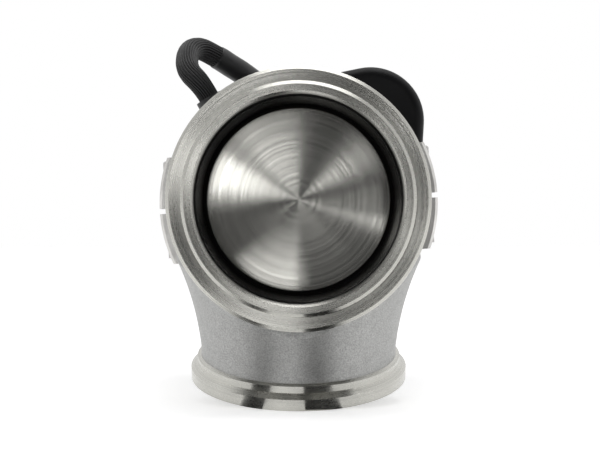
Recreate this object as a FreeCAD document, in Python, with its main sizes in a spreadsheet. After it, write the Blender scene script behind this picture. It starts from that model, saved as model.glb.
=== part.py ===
import FreeCAD, Part
import math
import os

# Electronic turbo wastegate, millimetres.
# The valve axis is Y. The inlet faces -Y, the outlet points down and Z is up.
# The origin is the centre of the inlet sealing face.

doc = FreeCAD.newDocument("wastegate")
sheet = doc.addObject("Spreadsheet::Sheet", "Sizes")


# ---------------------------------------------------------------------------
# Sizes: every driving dimension is one aliased cell
# ---------------------------------------------------------------------------

SIZES = [
    # inlet V-band flange and bore
    ("inlet_rim_radius", 42.5), ("inlet_rim_chamfer", 1.1), ("inlet_rim_width", 2.5),
    ("lip_radius", 37.6), ("lip_height", 2.4), ("lip_chamfer", 1.1),
    ("inlet_bore_radius", 33.4), ("inlet_bore_chamfer", 1.0), ("vband_neck_radius", 37.0),
    ("vband_slope", 0.364), ("groove_length", 6.0),
    # chamber of the casting
    ("chamber_front_radius", 43.9), ("chamber_radius", 46.6), ("chamber_full", 55.0),
    ("shoulder_length", 7.0), ("shoulder_curve", 7.7), ("rear_shoulder_curve", 12.0),
    ("cavity_radius", 40.0), ("cavity_corner", 8.0), ("chamber_back", 88.0), ("cavity_front", 20.0),
    ("cavity_back", 80.0), ("seat_lip_radius", 32.6), ("seat_shelf", 18.5),
    # outlet neck and V-band flange, measured along the outlet axis from the valve axis
    ("outlet_y", 37.7), ("outlet_rake", 13.9), ("outlet_length", 62.3), ("outlet_rim_radius", 37.5),
    ("outlet_rim_width", 3.9), ("outlet_cone", 1.5), ("collar_radius", 35.2), ("collar_width", 2.3),
    ("collar_step", 0.6), ("neck_radius", 33.9), ("neck_foot_radius", 28.0),
    ("neck_waist_radius", 34.2), ("neck_waist", 48.3), ("neck_flare_radius", 110.0),
    ("neck_head_radius", 42.0), ("neck_head", 19.0), ("neck_crown_radius", 33.0),
    ("neck_crown", 10.0), ("neck_crown_curve", 12.0), ("outlet_bore_radius", 30.5),
    ("outlet_bore_top", 31.0), ("socket_radius", 33.0), ("socket_depth", 2.5),
    ("flange_room", 1.5),
    # rear neck, rear V flange and guide boss
    ("rear_neck_radius", 36.5), ("rear_neck_start", 92.0), ("joint_radius", 42.0),
    ("body_back", 101.0), ("joint_rim", 3.0), ("relief_radius", 31.0), ("relief_start", 88.0),
    ("boss_radius", 12.0), ("boss_end", 100.0),
    # seat ring and valve
    ("seat_front", 4.0), ("seat_mouth_radius", 33.0), ("seat_throat_radius", 31.2),
    ("throat_start", 13.5), ("valve_face_y", 12.0), ("valve_face_radius", 30.0), ("valve_bevel", 1.3),
    ("valve_land", 0.8), ("valve_radius", 32.4), ("valve_rim", 2.5), ("valve_back_y", 24.0),
    ("valve_hub_radius", 12.0), ("face_dish", 0.6), ("face_step_radius", 15.0), ("face_step", 0.25),
    ("seat_gap", 0.1), ("stem_radius", 5.0), ("stem_end", 109.0), ("stem_fillet", 6.0),
    ("slide_clearance", 0.05), ("guide_radius", 8.5), ("guide_front", 77.0), ("guide_collar", 1.5),
    # insulating gasket and actuator base
    ("gasket_inner_radius", 32.0), ("gasket_inset", 0.5), ("gasket_thickness", 1.5),
    ("base_length", 7.5), ("base_spigot_step", 0.3), ("seal_radius", 9.0), ("seal_length", 5.5),
    ("base_screw_ring_radius", 24.0), ("base_screw_radius", 2.0),
    ("base_screw_reach", 6.0), ("base_head_radius", 3.5), ("base_head_height", 3.0),
    # two-piece clamp
    ("clamp_ring_wall", 4.5), ("clamp_overhang", 1.6), ("clamp_lug_margin", 6.2),
    ("clamp_lug_inset", 1.6), ("clamp_lug_half_height", 20.2), ("clamp_split", 2.0),
    ("clamp_turn", 3.5), ("clamp_bolt_gap", 4.6), ("clamp_bolt_radius", 2.5),
    ("clamp_head_radius", 4.25), ("clamp_seat_height", 14.0), ("clamp_gap", 0.1),
    ("clamp_head_height", 5.0), ("clamp_hole_clearance", 0.25),
    # gear housing and rear cover
    ("housing_radius", 47.0), ("gearbox_radius", 42.0), ("motor_x", 28.0), ("motor_z", 32.4),
    ("motor_lobe_radius", 20.9), ("housing_wall", 3.0), ("housing_front_wall", 4.0),
    ("housing_step", 14.0), ("housing_length", 38.0), ("housing_edge", 4.0), ("cover_thickness", 4.0),
    ("ear_radius", 4.0), ("ear_ring_radius", 43.0), ("lobe_boss_ring_radius", 15.2), ("lobe_boss_radius", 3.4),
    ("cover_gasket_thickness", 0.8), ("cover_screw_radius", 1.5), ("cover_head_radius", 2.8),
    ("cover_head_height", 2.6), ("cover_screw_reach", 9.0), ("dome_radius", 9.5), ("dome_length", 18.0), ("dome_edge", 3.0), ("sleeve_radius", 7.0),
    ("bearing_bore_radius", 9.0), ("bearing_radius", 14.0), ("bearing_width", 5.0),
    ("bearing_wall", 3.0),
    # nut gear, lead screw and motor
    ("gear_teeth", 60.0), ("pinion_teeth", 14.0), ("gear_width", 8.0), ("tooth_thinning", 0.12),
    ("gear_rim_thickness", 3.2), ("gear_web_thickness", 4.0), ("hub_radius", 11.0),
    ("screw_radius", 4.5), ("screw_length", 43.0), ("screw_flat", 3.4),
    ("nut_mouth_radius", 5.5), ("nut_mouth_length", 10.5), ("valve_travel", 15.0),
    ("gear_back_room", 16.0), ("can_gap", 2.0), ("can_wall", 1.6), ("motor_shaft_radius", 2.5), ("rotor_radius", 13.0),
    ("rotor_end_gap", 1.9), ("magnet_radius", 4.0), ("magnet_length", 3.0), ("board_thickness", 1.6),
    ("board_side", 20.0), ("running_gap", 0.3),
    # lead, gland and connector
    ("lead_radius", 4.5), ("gland_x", -35.1), ("gland_y", 117.0), ("gland_z", 41.6),
    ("gland_angle", 120.0), ("gland_hex_radius", 6.6), ("gland_hex_length", 4.6),
    ("gland_collar_radius", 5.6), ("gland_collar_length", 3.0), ("gland_spigot_radius", 4.0),
    ("gland_spigot_length", 6.5), ("gland_boss_radius", 6.9),
    ("connector_radius", 6.5), ("connector_length", 24.0), ("connector_mouth_radius", 4.9),
    ("connector_mouth_depth", 11.0), ("bracket_thickness", 2.0),
    ("bracket_width", 14.0), ("bracket_drop", 17.0), ("bracket_foot_height", 12.0),
    ("connector_panel", 4.0), ("connector_flange_radius", 7.6), ("connector_flange_width", 1.6),
]


class Size:
    """A length with its number and the expression that gives it from the sheet."""

    def __init__(self, text, number):
        self.text = text
        self.number = number

    def joined(self, other, sign, number):
        return Size("(%s %s %s)" % (self.text, sign, as_size(other).text), number)

    def __add__(self, other):
        return self.joined(other, "+", self.number + as_size(other).number)

    def __sub__(self, other):
        return self.joined(other, "-", self.number - as_size(other).number)

    def __mul__(self, other):
        return self.joined(other, "*", self.number * as_size(other).number)

    def __truediv__(self, other):
        return self.joined(other, "/", self.number / as_size(other).number)

    def __neg__(self):
        return Size("(0 - %s)" % self.text, -self.number)


def as_size(value):
    """A plain number as a Size."""
    if isinstance(value, Size):
        return value
    return Size(repr(float(value)), float(value))


def cosine(angle):
    return Size("cos(%s * 1deg)" % angle.text, math.cos(math.radians(angle.number)))


def sine(angle):
    return Size("sin(%s * 1deg)" % angle.text, math.sin(math.radians(angle.number)))


class SizeTable:
    """The sheet's cells by name."""


s = SizeTable()
for row, (alias, value) in enumerate(SIZES, start=1):
    sheet.set("A%d" % row, alias)
    sheet.set("B%d" % row, str(value))
    sheet.setAlias("B%d" % row, alias)
    setattr(s, alias, Size("Sizes." + alias, float(value)))
doc.recompute()


# ---------------------------------------------------------------------------
# Ways of making a piece
# ---------------------------------------------------------------------------

def bind(target, name, size):
    """Tie one property to the sheet, or set it where it is a plain number."""
    size = as_size(size)
    target.setExpression(name, size.text)


def place(target, x=0, y=0, z=0, axis=(0, 0, 1), angle=None):
    """Bind a Placement: the axis is fixed, the angle and the base follow the sheet."""
    turn = FreeCAD.Rotation(FreeCAD.Vector(*axis), as_size(angle or 0).number)
    base = FreeCAD.Vector(as_size(x).number, as_size(y).number, as_size(z).number)
    target.Placement = FreeCAD.Placement(base, turn)
    for letter, value in (("x", x), ("y", y), ("z", z)):
        if isinstance(value, Size):
            bind(target, "Placement.Base." + letter, value)
    if isinstance(angle, Size):
        bind(target, "Placement.Rotation.Angle", angle)
    return target


def plane_of(body, role):
    return [item for item in body.Origin.OriginFeatures if item.Role == role][0]


def arc_between(start, end, radius, turns_left):
    """The arc from start to end that keeps its centre on the named side, as sketch geometry."""
    chord = (end[0] - start[0], end[1] - start[1])
    length = math.hypot(*chord)
    rise = math.sqrt(radius ** 2 - (length / 2) ** 2)
    side = 1 if turns_left else -1
    centre_x = (start[0] + end[0]) / 2 - side * rise * chord[1] / length
    centre_y = (start[1] + end[1]) / 2 + side * rise * chord[0] / length
    first, last = (start, end) if turns_left else (end, start)
    first_angle = math.atan2(first[1] - centre_y, first[0] - centre_x)
    last_angle = math.atan2(last[1] - centre_y, last[0] - centre_x)
    circle = Part.Circle(FreeCAD.Vector(centre_x, centre_y, 0), FreeCAD.Vector(0, 0, 1), radius)
    return Part.ArcOfCircle(circle, first_angle, last_angle)


def outline_sketch(body, role, points):
    """A closed outline. A point is (x, y), or (x, y, radius, side) where an arc leads up to it."""
    import Sketcher
    sketch = body.newObject("Sketcher::SketchObject", body.Name + "_outline")
    sketch.AttachmentSupport = [(plane_of(body, role), "")]
    sketch.MapMode = "FlatFace"
    spots = [(as_size(p[0]).number, as_size(p[1]).number) for p in points]
    ends = []
    for index, point in enumerate(points):
        start = spots[index - 1]
        end = spots[index]
        if len(point) == 2:
            line = Part.LineSegment(FreeCAD.Vector(*start, 0), FreeCAD.Vector(*end, 0))
            ends.append((sketch.addGeometry(line), 1, 2))
        else:
            turns_left = point[3] == "left"
            arc = arc_between(start, end, as_size(point[2]).number, turns_left)
            edge = sketch.addGeometry(arc)
            ends.append((edge, 1, 2) if turns_left else (edge, 2, 1))
    for index, point in enumerate(points):
        edge, first, last = ends[index]
        following = ends[(index + 1) % len(points)]
        sketch.addConstraint(Sketcher.Constraint("Coincident", edge, last, following[0], following[1]))
        for kind, value, line in (("DistanceX", point[0], -2), ("DistanceY", point[1], -1)):
            value = as_size(value)
            if value.number == 0:
                sketch.addConstraint(Sketcher.Constraint("PointOnObject", edge, last, line))
            else:
                held = Sketcher.Constraint(kind, -1, 1, edge, last, value.number)
                number = sketch.addConstraint(held)
                bind(sketch, "Constraints[%d]" % number, value)
        if len(point) == 4:
            held = Sketcher.Constraint("Radius", edge, as_size(point[2]).number)
            number = sketch.addConstraint(held)
            bind(sketch, "Constraints[%d]" % number, point[2])
    return sketch


def turned(name, points):
    """A piece turned about the Y axis from (radius, y) points."""
    body = doc.addObject("PartDesign::Body", name)
    body.Label = name
    sketch = outline_sketch(body, "XY_Plane", points)
    turn = body.newObject("PartDesign::Revolution", name + "_turn")
    turn.Profile = sketch
    turn.ReferenceAxis = (sketch, ["V_Axis"])
    turn.Angle = 360
    body.Tip = turn
    return body


def plate(name, points, start, thickness):
    """A plate from an (x, z) outline, from y = start towards +Y."""
    body = doc.addObject("PartDesign::Body", name)
    body.Label = name
    mirrored = [(p[0], p[1]) + tuple(p[2:]) for p in points]
    sketch = outline_sketch(body, "XZ_Plane", mirrored)
    pad = body.newObject("PartDesign::Pad", name + "_pad")
    pad.Profile = sketch
    pad.Reversed = True
    bind(pad, "Length", thickness)
    body.Tip = pad
    place(body, y=start)
    return body


def rod(name, radius, x, y, z, length, axis=(1, 0, 0), angle=-90):
    """A cylinder. Without an axis it runs from (x, y, z) towards +Y."""
    cylinder = doc.addObject("Part::Cylinder", name)
    cylinder.Label = name
    bind(cylinder, "Radius", radius)
    bind(cylinder, "Height", length)
    return place(cylinder, x, y, z, axis, angle)


def block(name, x, y, z, length, width, height):
    """A box from its low corner."""
    box = doc.addObject("Part::Box", name)
    box.Label = name
    bind(box, "Length", length)
    bind(box, "Width", width)
    bind(box, "Height", height)
    return place(box, x, y, z)


def fused(name, *pieces):
    union = doc.addObject("Part::MultiFuse", name)
    union.Label = name
    union.Shapes = list(pieces)
    return union


def common(name, first, second):
    shared = doc.addObject("Part::Common", name)
    shared.Label = name
    shared.Base = first
    shared.Tool = second
    return shared


def cut(name, base, *tools):
    """Base less every tool."""
    tool = tools[0] if len(tools) == 1 else fused(name + "_tools", *tools)
    rest = doc.addObject("Part::Cut", name)
    rest.Label = name
    rest.Base = base
    rest.Tool = tool
    return rest


def group(name, pieces):
    """Separate solids of one kind in one node."""
    compound = doc.addObject("Part::Compound", name)
    compound.Label = name
    compound.Links = pieces
    return compound


def rounded(name, base, radius, wanted):
    """Fillet the edges of base that the test picks."""
    doc.recompute()
    fillet = doc.addObject("Part::Fillet", name)
    fillet.Label = name
    fillet.Base = base
    edges = [i for i, edge in enumerate(base.Shape.Edges, start=1) if wanted(edge)]
    fillet.Edges = [(i, radius.number, radius.number) for i in edges]
    return fillet


# ---------------------------------------------------------------------------
# Casting
# ---------------------------------------------------------------------------

def vband_fall(height):
    """How far a V-band cone runs along the axis over a radial height."""
    return height * s.vband_slope


# Stations of the inlet flange along the valve axis, from its face back to the casting.
inlet_rim_back = s.inlet_rim_chamfer + s.inlet_rim_width
inlet_cone_end = inlet_rim_back + vband_fall(s.inlet_rim_radius - s.vband_neck_radius)
inlet_seam = inlet_cone_end + s.groove_length / 2
inlet_shoulder = inlet_cone_end + s.groove_length

# Stations of the outlet flange along the outlet axis, from its face back to the casting.
outlet_band = s.outlet_length - s.outlet_rim_width
outlet_cone_start = outlet_band - s.outlet_cone
outlet_collar = outlet_cone_start - s.collar_width
outlet_seam = outlet_collar - s.collar_step


def make_inlet_flange():
    return turned("inlet_flange", [
        (s.inlet_bore_radius + s.inlet_bore_chamfer, -s.lip_height),
        (s.lip_radius - s.lip_chamfer, -s.lip_height),
        (s.lip_radius, s.lip_chamfer - s.lip_height),
        (s.lip_radius, 0),
        (s.inlet_rim_radius - s.inlet_rim_chamfer, 0),
        (s.inlet_rim_radius, s.inlet_rim_chamfer),
        (s.inlet_rim_radius, inlet_rim_back),
        (s.vband_neck_radius, inlet_cone_end),
        (s.vband_neck_radius, inlet_seam),
        (s.inlet_bore_radius, inlet_seam),
        (s.inlet_bore_radius, s.inlet_bore_chamfer - s.lip_height),
    ])


def along_outlet(piece):
    """Lay a piece that is turned about Y along the raked outlet axis."""
    return place(piece, y=s.outlet_y, axis=(1, 0, 0), angle=s.outlet_rake - 90)


def make_outlet_flange():
    socket_end = s.outlet_length - s.socket_depth
    return along_outlet(turned("outlet_flange", [
        (s.outlet_bore_radius, outlet_seam),
        (s.neck_radius, outlet_seam),
        (s.collar_radius, outlet_collar),
        (s.collar_radius, outlet_cone_start),
        (s.outlet_rim_radius, outlet_band),
        (s.outlet_rim_radius, s.outlet_length),
        (s.socket_radius, s.outlet_length),
        (s.socket_radius, socket_end),
        (s.outlet_bore_radius, socket_end),
    ]))


def make_chamber_skin():
    rear_rim = s.body_back - s.joint_rim
    rear_cone = rear_rim - vband_fall(s.joint_radius - s.rear_neck_radius)
    return turned("chamber_skin", [
        (0, inlet_seam),
        (s.vband_neck_radius, inlet_seam),
        (s.vband_neck_radius, inlet_shoulder),
        (s.chamber_front_radius, inlet_shoulder + s.shoulder_length, s.shoulder_curve, "left"),
        (s.chamber_radius, s.chamber_full),
        (s.chamber_radius, s.chamber_back - s.shoulder_length),
        (s.rear_neck_radius, s.rear_neck_start, s.rear_shoulder_curve, "left"),
        (s.rear_neck_radius, rear_cone),
        (s.joint_radius, rear_rim),
        (s.joint_radius, s.body_back),
        (0, s.body_back),
    ])


def make_neck_room():
    """Where the neck may be: anywhere behind the groove of the inlet flange."""
    start = s.inlet_rim_width + s.groove_length + s.shoulder_length / 2
    reach = s.chamber_radius * 2
    return block("neck_room", -reach, start, -reach, reach * 2, reach, reach * 2)


def make_neck():
    return along_outlet(turned("neck_skin", [
        (0, s.neck_crown),
        (s.neck_crown_radius, s.neck_crown),
        (s.neck_head_radius, s.neck_head, s.neck_crown_curve, "left"),
        (s.neck_waist_radius, s.neck_waist, s.neck_flare_radius, "right"),
        (s.neck_radius, outlet_seam, s.neck_foot_radius, "right"),
        (0, outlet_seam),
    ]))


def make_valve_body():
    neck = common("neck_within", make_neck(), make_neck_room())
    skin = fused("casting_skin", make_chamber_skin(), neck)
    cavity = turned("cavity", [
        (0, s.seat_shelf),
        (s.seat_lip_radius, s.seat_shelf),
        (s.seat_lip_radius, s.cavity_front),
        (s.cavity_radius, s.cavity_front),
        (s.cavity_radius, s.cavity_back - s.cavity_corner),
        (s.cavity_radius - s.cavity_corner, s.cavity_back, s.cavity_corner, "left"),
        (0, s.cavity_back),
    ])
    inlet = rod("inlet_bore", s.inlet_bore_radius, 0, inlet_seam - 1, 0,
                s.seat_shelf - inlet_seam + 1)
    outlet = along_outlet(turned("outlet_bore", [
        (0, s.outlet_bore_top),
        (s.outlet_bore_radius, s.outlet_bore_top),
        (s.outlet_bore_radius, outlet_seam + 1),
        (0, outlet_seam + 1),
    ]))
    room_reach = s.outlet_rim_radius + s.flange_room * 2
    flange_room = along_outlet(turned("flange_room", [
        (0, outlet_seam),
        (s.neck_radius, outlet_seam),
        (s.neck_radius, outlet_seam - s.flange_room),
        (room_reach, outlet_seam - s.flange_room),
        (room_reach, s.outlet_length),
        (0, s.outlet_length),
    ]))
    relief = turned("heat_relief", [
        (s.boss_radius, s.relief_start + 2),
        (s.boss_radius + 2, s.relief_start),
        (s.relief_radius, s.relief_start),
        (s.relief_radius, s.body_back + 1),
        (0, s.body_back + 1),
        (0, s.boss_end),
        (s.boss_radius, s.boss_end),
    ])
    guide_bore = rod("guide_bore", s.guide_radius, 0, s.cavity_back - 1, 0, s.boss_end)
    return cut("valve_body", skin, cavity, inlet, outlet, flange_room, relief, guide_bore)


# ---------------------------------------------------------------------------
# Valve, seat and guide
# ---------------------------------------------------------------------------

def make_valve_seat():
    cone_start = s.valve_face_y + s.valve_bevel + s.valve_land - s.seat_gap * 1.414
    face_end = s.valve_face_radius
    outer = s.inlet_bore_radius
    return turned("valve_seat", [
        (s.seat_mouth_radius, s.seat_front),
        (outer, s.seat_front),
        (outer, s.seat_shelf),
        (s.seat_lip_radius + 0.1, s.seat_shelf),
        (s.seat_lip_radius + 0.1, cone_start + (s.seat_lip_radius + 0.1 - face_end)),
        (s.seat_throat_radius, cone_start + (s.seat_throat_radius - face_end)),
        (s.seat_throat_radius, s.throat_start),
    ])


def make_valve():
    land = s.valve_face_y + s.valve_bevel
    cone_start = land + s.valve_land
    cone_end = cone_start + (s.valve_radius - s.valve_face_radius)
    rim_end = cone_end + s.valve_rim
    return turned("valve", [
        (0, s.valve_face_y + s.face_dish),
        (s.face_step_radius, s.valve_face_y + s.face_step),
        (s.valve_face_radius - s.valve_bevel, s.valve_face_y),
        (s.valve_face_radius, land),
        (s.valve_face_radius, cone_start),
        (s.valve_radius, cone_end),
        (s.valve_radius, rim_end),
        (s.valve_hub_radius, s.valve_back_y),
        (s.stem_radius, s.valve_back_y + s.stem_fillet, s.stem_fillet * 1.4, "right"),
        (s.stem_radius, s.stem_end),
        (0, s.stem_end),
    ])


def make_stem_guide():
    bore = s.stem_radius + s.slide_clearance
    return turned("stem_guide", [
        (bore, s.guide_front),
        (s.guide_radius - 1, s.guide_front),
        (s.guide_radius, s.guide_front + 1),
        (s.guide_radius, s.boss_end),
        (s.guide_radius + s.guide_collar, s.boss_end),
        (s.guide_radius + s.guide_collar, s.body_back),
        (bore, s.body_back),
    ])


# ---------------------------------------------------------------------------
# Joint between casting and actuator
# ---------------------------------------------------------------------------

base_front = s.body_back + s.gasket_thickness
housing_front = base_front + s.base_length
base_spigot_radius = s.rear_neck_radius + s.base_spigot_step
gasket_outer_radius = s.joint_radius - s.gasket_inset
clamp_ring_radius = s.joint_radius + s.clamp_ring_wall
clamp_bolt_offset = s.joint_radius + s.clamp_bolt_gap
clamp_lug_radius = clamp_bolt_offset + s.clamp_lug_margin


def make_insulating_gasket():
    return turned("insulating_gasket", [
        (s.gasket_inner_radius, s.body_back),
        (gasket_outer_radius, s.body_back),
        (gasket_outer_radius, base_front),
        (s.gasket_inner_radius, base_front),
    ])


def make_actuator_base():
    rim_end = base_front + s.joint_rim
    cone_end = rim_end + vband_fall(s.joint_radius - base_spigot_radius)
    seal_end = base_front + s.seal_length
    bore = s.nut_mouth_radius + s.running_gap
    blank = turned("base_blank", [
        (s.seal_radius, base_front),
        (s.joint_radius, base_front),
        (s.joint_radius, rim_end),
        (base_spigot_radius, cone_end),
        (base_spigot_radius, housing_front),
        (bore, housing_front),
        (bore, seal_end),
        (s.seal_radius, seal_end),
    ])
    threads = rods_at("base_thread", base_spots, s.base_screw_radius,
                      housing_front - s.base_screw_reach, s.base_screw_reach + 1)
    return cut("actuator_base", blank, group("base_threads", threads))


def make_stem_seal():
    end = base_front + s.seal_length
    return turned("stem_seal", [
        (s.stem_radius + s.slide_clearance, base_front),
        (s.seal_radius, base_front),
        (s.seal_radius, end),
        (s.stem_radius + s.slide_clearance, end),
    ])


# ---------------------------------------------------------------------------
# Clamp: two half rings, each with a bolt lug at both ends
# ---------------------------------------------------------------------------

def make_clamps():
    fall = vband_fall(s.joint_radius - s.rear_neck_radius)
    front_cone = s.body_back - s.joint_rim
    rear_cone = base_front + s.joint_rim
    ring_front = front_cone - fall - s.clamp_overhang
    ring_back = rear_cone + fall + s.clamp_overhang
    throat = base_spigot_radius + s.clamp_gap * 4
    groove = s.joint_radius + s.clamp_gap
    ring = turned("clamp_ring", [
        (throat, ring_front),
        (clamp_ring_radius - 1, ring_front),
        (clamp_ring_radius, ring_front + 1),
        (clamp_ring_radius, ring_back - 1),
        (clamp_ring_radius - 1, ring_back),
        (throat, ring_back),
        (throat, rear_cone + vband_fall(groove - throat) + s.clamp_gap),
        (groove, rear_cone + s.clamp_gap),
        (groove, front_cone - s.clamp_gap),
        (throat, front_cone - vband_fall(groove - throat) - s.clamp_gap),
    ])
    lug_front = ring_front + s.clamp_lug_inset
    lug_back = ring_back - s.clamp_lug_inset
    lug_band = turned("clamp_lug_band", [
        (groove, lug_front),
        (clamp_lug_radius - 1, lug_front),
        (clamp_lug_radius, lug_front + 1),
        (clamp_lug_radius, lug_back - 1),
        (clamp_lug_radius - 1, lug_back),
        (groove, lug_back),
    ])
    reach = clamp_lug_radius * 1.2
    half = s.clamp_lug_half_height
    band = block("clamp_lug_height", -reach, ring_front, -half, reach * 2, ring_back - ring_front,
                 half * 2)
    blank = fused("clamp_blank", ring, common("clamp_lugs", lug_band, band))
    middle = (ring_front + ring_back) / 2
    for name, side in (("clamp_upper", 1), ("clamp_lower", -1)):
        yield make_clamp_half(name, side, blank, ring_front, ring_back, middle, reach)


def make_clamp_half(name, side, blank, front, back, middle, reach):
    split = s.clamp_split / 2
    low = split if side > 0 else -reach
    half_space = block(name + "_half", -reach, front - 1, low, reach * 2, back - front + 2,
                       reach - split)
    tools = []
    hole = s.clamp_bolt_radius + s.clamp_hole_clearance
    seat = s.clamp_head_radius + s.clamp_hole_clearance * 2
    for hand in (-1, 1):
        x = clamp_bolt_offset * hand
        tag = "%s_%s" % (name, "left" if hand < 0 else "right")
        tools.append(upright(tag + "_hole", hole, x, middle, -reach, reach * 2))
        seat_from = s.clamp_seat_height if side > 0 else -reach
        tools.append(upright(tag + "_seat", seat, x, middle, seat_from, reach - s.clamp_seat_height))
    solid = cut(name, common(name + "_ring", blank, half_space), *tools)
    return place(solid, axis=(0, 1, 0), angle=-s.clamp_turn)


def upright(name, radius, x, y, z, length):
    """A cylinder that runs from (x, y, z) towards +Z."""
    return rod(name, radius, x, y, z, length, axis=(0, 0, 1), angle=None)


def make_clamp_hardware():
    """Two socket screws from above and two nuts below, along the clamp's own upright."""
    middle = (s.body_back + base_front) / 2
    seat = s.clamp_seat_height
    screws = []
    nuts = []
    for hand in (-1, 1):
        x = clamp_bolt_offset * hand
        tag = "left" if hand < 0 else "right"
        head = upright("bolt_head_" + tag, s.clamp_head_radius, x, middle, seat, s.clamp_head_height)
        shank = upright("bolt_shank_" + tag, s.clamp_bolt_radius, x, middle,
                        -seat - s.clamp_head_height, seat * 2 + s.clamp_head_height)
        screws.append(fused("bolt_" + tag, head, shank))
        nut = hexagon("nut_blank_" + tag, s.clamp_head_radius, s.clamp_head_height * 0.8)
        place(nut, x, middle, -seat - s.clamp_head_height * 0.8)
        bore = upright("nut_bore_" + tag, s.clamp_bolt_radius, x, middle,
                       -seat - s.clamp_head_height * 2, s.clamp_head_height * 3)
        nuts.append(cut("nut_" + tag, nut, bore))
    turn = {"axis": (0, 1, 0), "angle": -s.clamp_turn}
    return place(group("clamp_bolts", screws), **turn), place(group("clamp_nuts", nuts), **turn)


def hexagon(name, corner_radius, height):
    prism = doc.addObject("Part::Prism", name)
    prism.Label = name
    prism.Polygon = 6
    bind(prism, "Circumradius", corner_radius)
    bind(prism, "Height", height)
    return prism


# ---------------------------------------------------------------------------
# Gear housing and rear cover: hulls round the valve axis and the motor axis
# ---------------------------------------------------------------------------

def arc_cosine(size):
    return Size("acos(%s)" % size.text, math.degrees(math.acos(size.number)))


def arc_tangent(rise, run):
    return Size("atan(%s / %s)" % (rise.text, run.text),
                math.degrees(math.atan2(rise.number, run.number)))


def hypotenuse(x, z):
    return Size("sqrt(%s * %s + %s * %s)" % (x.text, x.text, z.text, z.text),
                math.hypot(x.number, z.number))


def degree_cosine(angle):
    """Cosine of an angle that already carries degrees."""
    return Size("cos(%s)" % angle.text, math.cos(math.radians(angle.number)))


def degree_sine(angle):
    return Size("sin(%s)" % angle.text, math.sin(math.radians(angle.number)))


def hull_outline(main_radius, lobe_radius):
    """The (x, z) outline of two circles and their common tangents."""
    distance = hypotenuse(s.motor_x, s.motor_z)
    lean = arc_tangent(s.motor_z, s.motor_x)
    spread = arc_cosine((main_radius - lobe_radius) / distance)
    corners = []
    for angle in (lean - spread, lean + spread):
        main = (main_radius * degree_cosine(angle), main_radius * degree_sine(angle))
        lobe = (s.motor_x + lobe_radius * degree_cosine(angle),
                s.motor_z + lobe_radius * degree_sine(angle))
        corners.append((main, lobe))
    (main_right, lobe_right), (main_left, lobe_left) = corners
    bottom = (as_size(0), -main_radius)
    return [
        main_left,
        bottom + (main_radius, "left"),
        main_right + (main_radius, "left"),
        lobe_right,
        lobe_left + (lobe_radius, "left"),
    ]


gearbox_front = housing_front + s.housing_step
housing_back = housing_front + s.housing_length
cover_front = housing_back + s.cover_gasket_thickness
cover_back = cover_front + s.cover_thickness
EAR_ANGLES = (155, 200, 247, 295, 340)
LOBE_ANGLES = (0, 98)
gear_distance = hypotenuse(s.motor_x, s.motor_z)


def spots_round(x, z, circle, angles):
    """Screw positions on a circle, by angle in degrees from +X towards +Z."""
    return [(x + circle * cosine(as_size(angle)), z + circle * sine(as_size(angle)))
            for angle in angles]


ear_spots = spots_round(as_size(0), as_size(0), s.ear_ring_radius, EAR_ANGLES)
lobe_spots = spots_round(s.motor_x, s.motor_z, s.lobe_boss_ring_radius, LOBE_ANGLES)
base_spots = spots_round(as_size(0), as_size(0), s.base_screw_ring_radius, (0, 90, 180, 270))


def rods_at(name, spots, radius, start, length):
    return [rod("%s_%d" % (name, index), radius, x, start, z, length)
            for index, (x, z) in enumerate(spots, start=1)]


def make_housing():
    front = plate("housing_front_plate", hull_outline(s.housing_radius, s.motor_lobe_radius),
                  housing_front, s.housing_step)
    crowned = rounded("housing_front_crown", front, s.housing_edge,
                      lambda edge: edge.BoundBox.YMax < housing_front.number + 0.01)
    back = plate("housing_back_plate", hull_outline(s.gearbox_radius, s.motor_lobe_radius),
                 gearbox_front, s.housing_length - s.housing_step)
    ears = rods_at("housing_ear", ear_spots, s.ear_radius, gearbox_front,
                   s.housing_length - s.housing_step)
    gland_seat = -(s.gland_hex_length + s.gland_collar_length)
    gland_boss = gland_rod("gland_boss", s.gland_boss_radius, gland_seat - s.gland_spigot_length * 1.5,
                           s.gland_spigot_length * 1.5)
    skin = fused("housing_skin", crowned, back, gland_boss, *ears)
    inner = plate("housing_room", hull_outline(s.gearbox_radius - s.housing_wall,
                                               s.motor_lobe_radius - s.housing_wall),
                  housing_front + s.housing_front_wall,
                  s.housing_length)
    wall = housing_front + s.housing_front_wall
    bearing_boss = turned("bearing_boss", [
        (s.bearing_radius, wall - 1),
        (s.bearing_radius + s.bearing_wall, wall - 1),
        (s.bearing_radius + s.bearing_wall, wall + s.bearing_width),
        (s.bearing_radius, wall + s.bearing_width),
    ])
    boss_start = wall + can_length + s.running_gap
    lobe_bosses = rods_at("lobe_boss", lobe_spots, s.lobe_boss_radius, boss_start,
                          housing_back - boss_start)
    shell = cut("housing_shell", skin, inner)
    walled = fused("housing_walled", shell, bearing_boss, *lobe_bosses)
    mouth = s.nut_mouth_radius + s.running_gap
    holes = [
        rod("stem_hole", mouth, 0, housing_front - 1, 0, s.housing_front_wall + 2),
        group("cover_threads", rods_at("cover_thread", ear_spots + lobe_spots, s.cover_screw_radius,
                                       housing_back - s.cover_screw_reach,
                                       s.cover_screw_reach + 1)),
        group("base_screw_holes", rods_at("base_hole", base_spots, s.base_screw_radius,
                                          housing_front - 1, s.housing_front_wall + 2)),
        gland_rod("gland_hole", s.gland_spigot_radius, -s.gland_spigot_length * 3,
                  s.gland_spigot_length * 3),
        gland_rod("gland_spot_face", s.gland_hex_radius + s.running_gap, gland_seat,
                  s.gland_spigot_length * 2),
    ]
    return cut("actuator_housing", walled, *holes)


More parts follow.
